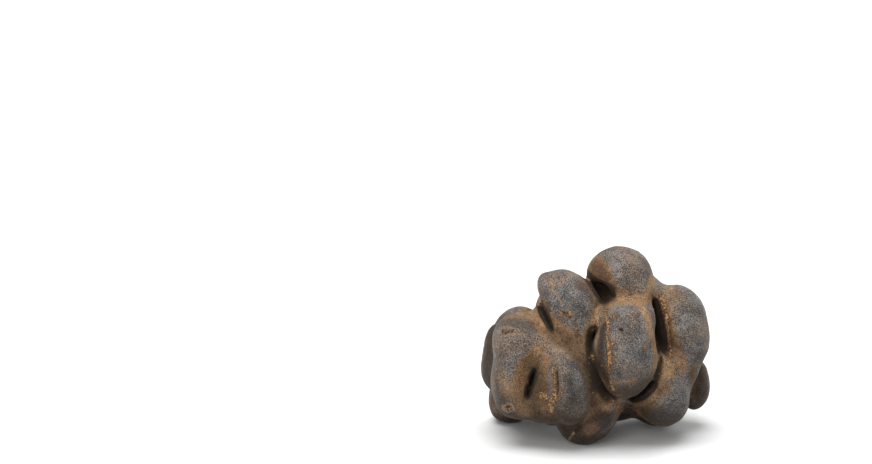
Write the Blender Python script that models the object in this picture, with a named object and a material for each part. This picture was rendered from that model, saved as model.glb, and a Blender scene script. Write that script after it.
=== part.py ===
"""A knobbly heirloom potato, one solid, in metres.

The tuber is a body with many knobs grown out of it. Each knob is a rounded lobe, and the lobes melt into each other with
a soft saddle between them. Clefts are then carved where two lobes close on each other. The surface is found on a grid,
thinned to a few thousand triangles, and cut flat where the potato rests.

Frame: +Z up, X to the right and Y away from the viewer of the side with the big front knob. The origin is under the
middle of the potato, on the surface that it rests on.
"""

from typing import NamedTuple

import bmesh
import bpy
import numpy as np
from mathutils import Euler

MM = 0.001
GRID_STEP = 0.9
MARGIN = 4.0
FILLED = 0.1
CORNERS = [(i, j, k) for i in (0, 1) for j in (0, 1) for k in (0, 1)]
TRIANGLES = 8200
REST_CUT = 0.35
SLOW_SWAY = (0.7, 6.0)
SLOW_PHASE = (0.4, 1.9, 3.1)
QUICK_SWAY = (0.35, 3.3)
QUICK_PHASE = (2.2, 0.7, 4.4)
SKIN_COLOUR = (0.19, 0.17, 0.15, 1.0)
SKIN_ROUGHNESS = 0.78


class Lobe(NamedTuple):
    """A rounded knob in mm: its middle, half sizes, turn in degrees about X, Y and Z, and how softly it blends.

    A hollow has the same values, and is carved out of the lobes above it in the list.
    """

    name: str
    centre: tuple
    radii: tuple
    turn: tuple = (0, 0, 0)
    blend: float = 4.0
    hollow: bool = False


LOBES = [
    Lobe("body", (-1, 8, 30), (23, 18, 19)),
    Lobe("body_left", (-22, 5, 24), (14, 16, 15)),
    Lobe("body_right", (18, 6, 24), (16, 16, 14)),
    # the far side
    Lobe("far_crown", (-10, 14, 43), (10, 11, 10)),
    Lobe("far_saddle", (4, 9, 46), (9, 8, 8)),
    Lobe("far_right_top", (21, 16, 34.5), (10.5, 11.5, 12.5), (0, 20, 0), 2.5),
    Lobe("far_middle", (2, 26, 29), (11, 11.5, 14.5), (0, -12, 0), 2),
    Lobe("far_left_top", (-25, 17, 29.5), (11.5, 12, 11), (0, 30, 0), 2.5),
    Lobe("far_left_low", (-14, 26, 16), (13, 10.5, 9.8), (0, 25, 0), 3),
    Lobe("far_right_low", (20.5, 26, 20.5), (10.5, 10.5, 12), (0, -25, 0), 2.5),
    Lobe("left_heel", (-28.8, 21, 7.2), (9, 10.5, 9.6), blend=3.5),
    Lobe("right_heel", (22.5, 18, 7.8), (10, 11, 8.8), blend=2),
    Lobe("under_knob", (9.5, 13, 11), (9.5, 11, 10)),
    Lobe("left_keel", (-14, 6, 11), (10, 12, 9)),
    # the top
    Lobe("crown_root", (15, 1, 49), (8, 9, 9)),
    Lobe("right_saddle", (20, 1, 46.5), (8, 8, 7), (0, 20, 0)),
    Lobe("bridge", (7, -8, 43), (11, 7, 6)),
    Lobe("crown_back", (6.4, -2.4, 57), (9.6, 9.8, 9.8), blend=3),
    Lobe("pit_back", (2, 5, 50.5), (5.5, 7, 7.5)),
    Lobe("pit_crown", (1.4, -8.5, 52.8), (4.8, 9.5, 2.8), (0, 36, 0), 3, hollow=True),
    Lobe("crown", (11.8, -4, 55.4), (7.6, 9.4, 10), (0, 4, 0), 3),
    # the right
    Lobe("right_neck", (27, -3, 25), (9, 8, 9.5), blend=5),
    Lobe("lower_right", (21.2, -8, 16.4), (10.6, 10, 10.4), (0, 10, 0)),
    Lobe("far_right_root", (28, 11, 17), (10.5, 10, 9.5)),
    Lobe("far_right", (36.5, 12, 15), (5.6, 8, 9), blend=2),
    Lobe("right", (30.2, -1, 39.6), (8.8, 10.5, 14.6), (0, -14, 0), 3),
    # the left
    Lobe("left_back", (-33.4, 6, 25.5), (6, 10, 12.5), blend=3),
    Lobe("left_base", (-20.5, -12, 13.8), (13.5, 9, 6.2)),
    Lobe("left_column", (-30.2, -11, 24.4), (7.4, 10, 15.5)),
    Lobe("left_shoulder", (-26.5, -8, 35.8), (10, 11, 8.6), (0, 25, 0), 5),
    Lobe("left_strip", (-19, -13.5, 21.5), (4.6, 8.6, 11.5), blend=4),
    Lobe("slit_bed", (-24, -9.4, 23), (4.2, 9.4, 10.5), (0, 11, 0), 3),
    Lobe("slit_left", (-23.6, -18, 22.3), (1, 7, 5.4), (0, 11, 0), 2, hollow=True),
    # the middle, where the front hangs over its own trough
    Lobe("foot_limb", (5, -6, 18), (8, 8, 11.5), (0, 45, 0), 5),
    Lobe("foot", (-4.4, -7.5, 9.6), (10.8, 10.5, 10.2)),
    Lobe("left_front", (-11.2, -17, 21.8), (8.6, 10.4, 13.2), (0, -8, 0), 2),
    Lobe("left_ridge", (-15.5, -11, 31), (6.5, 8.5, 7.5), (0, -40, 0), 5),
    Lobe("shoulder_root", (-6.5, -7.5, 39.5), (9, 8, 8), blend=5),
    Lobe("valley", (-4.5, -8.4, 27), (6, 9.6, 12), (0, -16, 0)),
    Lobe("shoulder_back", (-9, 3, 43), (9.5, 10, 10.5), (0, -20, 0)),
    Lobe("plinth", (11, -8, 37), (8.6, 10, 14), blend=3),
    Lobe("trough", (1.2, -14, 30), (2.5, 12.5, 12), (0, -14, 0), 4, hollow=True),
    Lobe("gap_right", (19.9, -7, 41), (1.9, 10.5, 9), (0, -8, 0), 3, hollow=True),
    Lobe("gap_low", (15, -13, 18.6), (1.6, 7, 5.6), (0, 46, 0), 2, hollow=True),
    Lobe("shoulder_side", (-15.6, -5.5, 50.4), (5.2, 8.6, 8.6), (0, -18, 0), 2),
    Lobe("shoulder", (-9.6, -6.5, 49.6), (8.6, 9.5, 12), (0, -28, 0), 2.5),
    Lobe("shoulder_bed", (-16.5, -5, 40.5), (6, 7.6, 7.5), (0, -31, 0)),
    Lobe("slit_shoulder", (-19.8, -10, 46.6), (1.1, 8, 7.2), (0, -31, 0), 2, hollow=True),
    Lobe("front", (9.2, -16, 32.8), (10.2, 10.5, 16.6), blend=1),
    Lobe("front_cheek", (3, -13.5, 33), (5.8, 8.8, 10), blend=0.8),
    Lobe("front_brow", (9.5, -11, 43.5), (8.5, 8, 6), blend=5),
]


def lobe_distance(points, lobe):
    """Signed distance in mm, close to true near the surface, from each point to the lobe's ellipsoid."""
    turn = np.array(Euler(np.radians(lobe.turn)).to_matrix())
    local = (points - np.array(lobe.centre)) @ turn
    radii = np.array(lobe.radii)
    reach = np.linalg.norm(local / radii, axis=-1)
    slope = np.linalg.norm(local / radii**2, axis=-1)
    return reach * (reach - 1) / np.maximum(slope, 1e-9)


def melt(first, second, width):
    """The nearer of two distances, with a soft saddle where they are within width of each other."""
    overlap = np.maximum(width - np.abs(first - second), 0) / width
    return np.minimum(first, second) - overlap**2 * width / 4


def sway(points):
    """Slow small shifts in mm, so that no lobe is a true ellipsoid."""
    slow = np.sin(points[..., [1, 2, 0]] / SLOW_SWAY[1] + SLOW_PHASE)
    quick = np.sin(points[..., [2, 0, 1]] / QUICK_SWAY[1] + QUICK_PHASE)
    return SLOW_SWAY[0] * slow + QUICK_SWAY[0] * quick


def potato_distance(points):
    """Signed distance in mm from each point to the potato's skin: the lobes joined and the hollows carved, in order."""
    points = points + sway(points)
    distance = lobe_distance(points, LOBES[0])
    for lobe in LOBES[1:]:
        if lobe.hollow:
            distance = -melt(-distance, lobe_distance(points, lobe), lobe.blend)
        else:
            distance = melt(distance, lobe_distance(points, lobe), lobe.blend)
    return distance


def grid_box():
    """Lowest corner and highest corner of a box round every lobe."""
    grown = [lobe for lobe in LOBES if not lobe.hollow]
    low = np.min([np.array(lobe.centre) - max(lobe.radii) for lobe in grown], axis=0)
    high = np.max([np.array(lobe.centre) + max(lobe.radii) for lobe in grown], axis=0)
    return low - MARGIN, high + MARGIN


def cell_corners(field):
    """Eight views of the field: the value at each corner of every grid cell, in the order of CORNERS."""
    size = np.array(field.shape) - 1
    return [field[tuple(slice(c, c + n) for c, n in zip(corner, size))] for corner in CORNERS]


def fill_pinches(inside):
    """Fills grid points where two stretches of skin would meet along an edge or at a corner only, as deep in a crease."""
    inside = inside.copy()
    before = -1
    while inside.sum() != before:
        before = inside.sum()
        for axis in range(3):
            layers = np.moveaxis(inside, axis, 0)
            a, b = layers[:, :-1, :-1], layers[:, 1:, 1:]
            c, d = layers[:, 1:, :-1], layers[:, :-1, 1:]
            crossed = (a & b & ~c & ~d) | (c & d & ~a & ~b)
            for part in (a, b, c, d):
                part |= crossed
        parts = cell_corners(inside)
        count = sum(part.astype(int) for part in parts)
        for n in range(len(CORNERS) // 2):
            near, far = parts[n], parts[-1 - n]
            lone = (near & far & (count == 2)) | (~near & ~far & (count == 6))
            for part in parts:
                part |= lone
    return inside


def cell_places(field, crossed):
    """Place of the surface in each crossed cell, in cells: the middle of the points where it cuts the cell's edges."""
    values = np.stack([part[crossed] for part in cell_corners(field)], axis=1)
    place = np.zeros((len(values), 3))
    hits = np.zeros(len(values))
    for a, start in enumerate(CORNERS):
        for b, end in enumerate(CORNERS):
            if b <= a or sum(abs(s - e) for s, e in zip(start, end)) != 1:
                continue
            cut = (values[:, a] < 0) != (values[:, b] < 0)
            share = values[cut, a] / (values[cut, a] - values[cut, b])
            place[cut] += np.array(start) + share[:, None] * (np.array(end) - np.array(start))
            hits[cut] += 1
    return np.argwhere(crossed) + place / hits[:, None]


def surface_quads(step):
    """Vertices and quads of the surface: a vertex in each grid cell that it crosses, and a quad round each crossed edge."""
    low, high = grid_box()
    axes = [np.arange(a, b + step, step) for a, b in zip(low, high)]
    field = potato_distance(np.stack(np.meshgrid(*axes, indexing="ij"), axis=-1))
    inside = fill_pinches(field < 0)
    field = np.where(inside, np.minimum(field, -FILLED * step), field)
    count = sum(part.astype(int) for part in cell_corners(inside))
    crossed = (count > 0) & (count < len(CORNERS))
    vertices = low + cell_places(field, crossed) * step
    number = np.full(crossed.shape, -1)
    number[crossed] = np.arange(len(vertices))
    quads = []
    for axis in range(3):
        side, up = (axis + 1) % 3, (axis + 2) % 3
        first = np.take(inside, range(field.shape[axis] - 1), axis)
        second = np.take(inside, range(1, field.shape[axis]), axis)
        for leaving in (True, False):
            edge = np.argwhere((first & ~second) if leaving else (~first & second))
            ring = [(0, 0), (-1, 0), (-1, -1), (0, -1)]
            steps = np.zeros((4, 3), int)
            for n, (s, u) in enumerate(ring if leaving else ring[::-1]):
                steps[n, side], steps[n, up] = s, u
            at = edge[:, None, :] + steps
            quads.append(number[at[..., 0], at[..., 1], at[..., 2]])
    return vertices, np.concatenate(quads)


def settle(vertices, rounds=3, reach=0.05, furthest=0.2, flattest=0.25):
    """Moves the vertices onto the exact surface, along its slope."""
    for _ in range(rounds):
        distance = potato_distance(vertices)
        slope = np.stack(
            [
                (potato_distance(vertices + shift) - potato_distance(vertices - shift)) / (2 * reach)
                for shift in np.eye(3) * reach
            ],
            axis=-1,
        )
        move = np.clip(distance / np.maximum((slope**2).sum(-1), flattest), -furthest, furthest)
        vertices = vertices - move[:, None] * slope
    return vertices


def skin_material():
    material = bpy.data.materials.new("skin")
    material.use_nodes = True
    shader = material.node_tree.nodes["Principled BSDF"]
    shader.inputs["Base Color"].default_value = SKIN_COLOUR
    shader.inputs["Roughness"].default_value = SKIN_ROUGHNESS
    shader.inputs["Metallic"].default_value = 0.0
    return material


def thin_out(obj):
    """Collapses edges where the skin is nearly flat until the solid has the wanted number of triangles."""
    faces = 2 * len(obj.data.polygons)
    modifier = obj.modifiers.new("thin", "DECIMATE")
    modifier.ratio = TRIANGLES / faces
    graph = bpy.context.evaluated_depsgraph_get()
    thinned = bpy.data.meshes.new_from_object(obj.evaluated_get(graph))
    obj.modifiers.clear()
    obj.data = thinned


def cut_rest_spots(mesh):
    """Cuts the lowest points level, so that the potato rests on a small flat spot under each of its feet."""
    work = bmesh.new()
    work.from_mesh(mesh)
    floor = min(v.co.z for v in work.verts) + REST_CUT * MM
    every = work.verts[:] + work.edges[:] + work.faces[:]
    cut = bmesh.ops.bisect_plane(work, geom=every, plane_co=(0, 0, floor), plane_no=(0, 0, -1), clear_outer=True)
    rims = [e for e in cut["geom_cut"] if isinstance(e, bmesh.types.BMEdge)]
    bmesh.ops.contextual_create(work, geom=rims)
    bmesh.ops.recalc_face_normals(work, faces=work.faces[:])
    work.to_mesh(mesh)
    work.free()


def centre_on_origin(mesh):
    places = np.array([v.co for v in mesh.vertices])
    low, high = places.min(0), places.max(0)
    middle = (low + high) / 2
    for v in mesh.vertices:
        v.co.x -= middle[0]
        v.co.y -= middle[1]
        v.co.z -= low[2]


def build_potato():
    vertices, quads = surface_quads(GRID_STEP)
    vertices = settle(vertices)
    mesh = bpy.data.meshes.new("potato")
    mesh.from_pydata((vertices * MM).tolist(), [], quads.tolist())
    potato = bpy.data.objects.new("potato", mesh)
    bpy.context.scene.collection.objects.link(potato)
    thin_out(potato)
    cut_rest_spots(potato.data)
    centre_on_origin(potato.data)
    potato.data.name = "potato"
    potato.data.shade_smooth()
    potato.data.materials.clear()
    potato.data.materials.append(skin_material())
    return potato


def main():
    for obj in list(bpy.data.objects):
        bpy.data.objects.remove(obj)
    build_potato()


main()
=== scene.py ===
"""The looks of a knobbly potato: its skin in relief and colour, the soil on it, the light and the camera.

Lengths are in mm where a name doesn't say otherwise, and are turned into metres where Blender takes them.
The lobes are the ones that the solid was grown from, sampled here on a finer grid.
"""

import math
import random
from typing import NamedTuple

import bmesh
import bpy
import numpy as np
from mathutils import Euler, Matrix, Vector, noise
from mathutils.bvhtree import BVHTree


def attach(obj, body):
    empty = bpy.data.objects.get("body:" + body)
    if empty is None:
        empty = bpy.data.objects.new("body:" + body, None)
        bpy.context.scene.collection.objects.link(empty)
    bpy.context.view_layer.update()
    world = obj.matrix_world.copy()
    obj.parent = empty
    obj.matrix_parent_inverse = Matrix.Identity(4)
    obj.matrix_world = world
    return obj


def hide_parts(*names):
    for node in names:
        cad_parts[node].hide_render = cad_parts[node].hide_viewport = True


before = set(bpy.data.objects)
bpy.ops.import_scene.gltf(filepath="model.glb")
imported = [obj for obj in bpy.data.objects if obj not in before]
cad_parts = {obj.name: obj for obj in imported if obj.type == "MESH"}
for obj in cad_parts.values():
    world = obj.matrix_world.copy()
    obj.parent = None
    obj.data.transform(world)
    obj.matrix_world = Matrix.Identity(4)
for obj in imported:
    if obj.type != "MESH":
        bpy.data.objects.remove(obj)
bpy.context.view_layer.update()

MM = 0.001
TINY = 1e-9

# the grid that the skin is sampled on: its step, the steps in a block of the first pass, how many blocks
# either side of the skin are then worked out in full, and the space round the lobes
GRID_STEP = 0.54
COARSE = 4
FULL_BAND = 1.6
MARGIN = 4.0
CORNERS = [(i, j, k) for i in (0, 1) for j in (0, 1) for k in (0, 1)]
# how far inside the skin a filled grid point counts as lying, in steps of the grid
FILLED = 0.1
# how much of the lowest knobs is pressed flat where the potato rests
REST_CUT = 0.35
# height and length of the slow and the quick sway, and their phases along the axes
SLOW_SWAY = (0.7, 6.0)
SLOW_PHASE = (0.4, 1.9, 3.1)
QUICK_SWAY = (0.35, 3.3)
QUICK_PHASE = (2.2, 0.7, 4.4)

# the photograph, and the camera that sees the potato as it does
IMAGE_WIDTH = 872
IMAGE_HEIGHT = 464
LENS = 100.0
SENSOR = 36.0
CLIP_START = 10.0
PITCH = math.radians(11.33)
DISTANCE = 847.0
AIM = np.array([0.0, 0.0, 31.8])
AIM_PIXEL = (596.0, 345.5)


class Lobe(NamedTuple):
    """A rounded knob: its middle, half sizes, turn in degrees about X, Y and Z, and how softly it blends.

    A hollow has the same values, and is carved out of the lobes above it in the list.
    """

    name: str
    centre: tuple
    radii: tuple
    turn: tuple = (0, 0, 0)
    blend: float = 4.0
    hollow: bool = False


LOBES = [
    Lobe("body", (-1, 8, 30), (23, 18, 19)),
    Lobe("body_left", (-22, 5, 24), (14, 16, 15)),
    Lobe("body_right", (18, 6, 24), (16, 16, 14)),
    # the far side
    Lobe("far_crown", (-10, 14, 43), (10, 11, 10)),
    Lobe("far_saddle", (4, 9, 46), (9, 8, 8)),
    Lobe("far_right_top", (21, 16, 34.5), (10.5, 11.5, 12.5), (0, 20, 0), 2.5),
    Lobe("far_middle", (2, 26, 29), (11, 11.5, 14.5), (0, -12, 0), 2),
    Lobe("far_left_top", (-25, 17, 29.5), (11.5, 12, 11), (0, 30, 0), 2.5),
    Lobe("far_left_low", (-14, 26, 16), (13, 10.5, 9.8), (0, 25, 0), 3),
    Lobe("far_right_low", (20.5, 26, 20.5), (10.5, 10.5, 12), (0, -25, 0), 2.5),
    Lobe("left_heel", (-28.8, 21, 7.2), (9, 10.5, 9.6), blend=3.5),
    Lobe("right_heel", (22.5, 18, 7.8), (10, 11, 8.8), blend=2),
    Lobe("under_knob", (9.5, 13, 11), (9.5, 11, 10)),
    Lobe("left_keel", (-14, 6, 11), (10, 12, 9)),
    # the top
    Lobe("crown_root", (15, 1, 49), (8, 9, 9)),
    Lobe("right_saddle", (20, 1, 46.5), (8, 8, 7), (0, 20, 0)),
    Lobe("bridge", (7, -8, 43), (11, 7, 6)),
    Lobe("crown_back", (6.4, -2.4, 57), (9.6, 9.8, 9.8), blend=3),
    Lobe("pit_back", (2, 5, 50.5), (5.5, 7, 7.5)),
    Lobe("pit_crown", (1.4, -8.5, 52.8), (4.8, 9.5, 2.8), (0, 36, 0), 3, hollow=True),
    Lobe("crown", (11.8, -4, 55.4), (7.6, 9.4, 10), (0, 4, 0), 3),
    # the right
    Lobe("right_neck", (27, -3, 25), (9, 8, 9.5), blend=5),
    Lobe("lower_right", (21.2, -8, 16.4), (10.6, 10, 10.4), (0, 10, 0)),
    Lobe("far_right_root", (28, 11, 17), (10.5, 10, 9.5)),
    Lobe("far_right", (36.5, 12, 15), (5.6, 8, 9), blend=2),
    Lobe("right", (30.2, -1, 39.6), (8.8, 10.5, 14.6), (0, -14, 0), 3),
    # the left
    Lobe("left_back", (-33.4, 6, 25.5), (6, 10, 12.5), blend=3),
    Lobe("left_base", (-20.5, -12, 13.8), (13.5, 9, 6.2)),
    Lobe("left_column", (-30.2, -11, 24.4), (7.4, 10, 15.5)),
    Lobe("left_shoulder", (-26.5, -8, 35.8), (10, 11, 8.6), (0, 25, 0), 5),
    Lobe("left_strip", (-19, -13.5, 21.5), (4.6, 8.6, 11.5), blend=4),
    Lobe("slit_bed", (-24, -9.4, 23), (4.2, 9.4, 10.5), (0, 11, 0), 3),
    Lobe("slit_left", (-23.6, -18, 22.3), (1, 7, 5.4), (0, 11, 0), 2, hollow=True),
    # the middle, where the front hangs over its own trough
    Lobe("foot_limb", (5, -6, 18), (8, 8, 11.5), (0, 45, 0), 5),
    Lobe("foot", (-4.4, -7.5, 9.6), (10.8, 10.5, 10.2)),
    Lobe("left_front", (-11.2, -17, 21.8), (8.6, 10.4, 13.2), (0, -8, 0), 2),
    Lobe("left_ridge", (-15.5, -11, 31), (6.5, 8.5, 7.5), (0, -40, 0), 5),
    Lobe("shoulder_root", (-6.5, -7.5, 39.5), (9, 8, 8), blend=5),
    Lobe("valley", (-4.5, -8.4, 27), (6, 9.6, 12), (0, -16, 0)),
    Lobe("shoulder_back", (-9, 3, 43), (9.5, 10, 10.5), (0, -20, 0)),
    Lobe("plinth", (11, -8, 37), (8.6, 10, 14), blend=3),
    Lobe("trough", (1.2, -14, 30), (2.5, 12.5, 12), (0, -14, 0), 4, hollow=True),
    Lobe("gap_right", (19.9, -7, 41), (1.9, 10.5, 9), (0, -8, 0), 3, hollow=True),
    Lobe("gap_low", (15, -13, 18.6), (1.6, 7, 5.6), (0, 46, 0), 2, hollow=True),
    Lobe("shoulder_side", (-15.6, -5.5, 50.4), (5.2, 8.6, 8.6), (0, -18, 0), 2),
    Lobe("shoulder", (-9.6, -6.5, 49.6), (8.6, 9.5, 12), (0, -28, 0), 2.5),
    Lobe("shoulder_bed", (-16.5, -5, 40.5), (6, 7.6, 7.5), (0, -31, 0)),
    Lobe("slit_shoulder", (-19.8, -10, 46.6), (1.1, 8, 7.2), (0, -31, 0), 2, hollow=True),
    Lobe("front", (9.2, -16, 32.8), (10.2, 10.5, 16.6), blend=1),
    Lobe("front_cheek", (3, -13.5, 33), (5.8, 8.8, 10), blend=0.8),
    Lobe("front_brow", (9.5, -11, 43.5), (8.5, 8, 6), blend=5),
]


class Mark(NamedTuple):
    """A mark on the skin, as wide as twice its reach, along points that are right of and above the aim point.

    It is seen from the camera, or from the camera turned about Z by so many degrees.
    """

    kind: str
    reach: float
    points: list
    turn: float = 0.0


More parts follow.
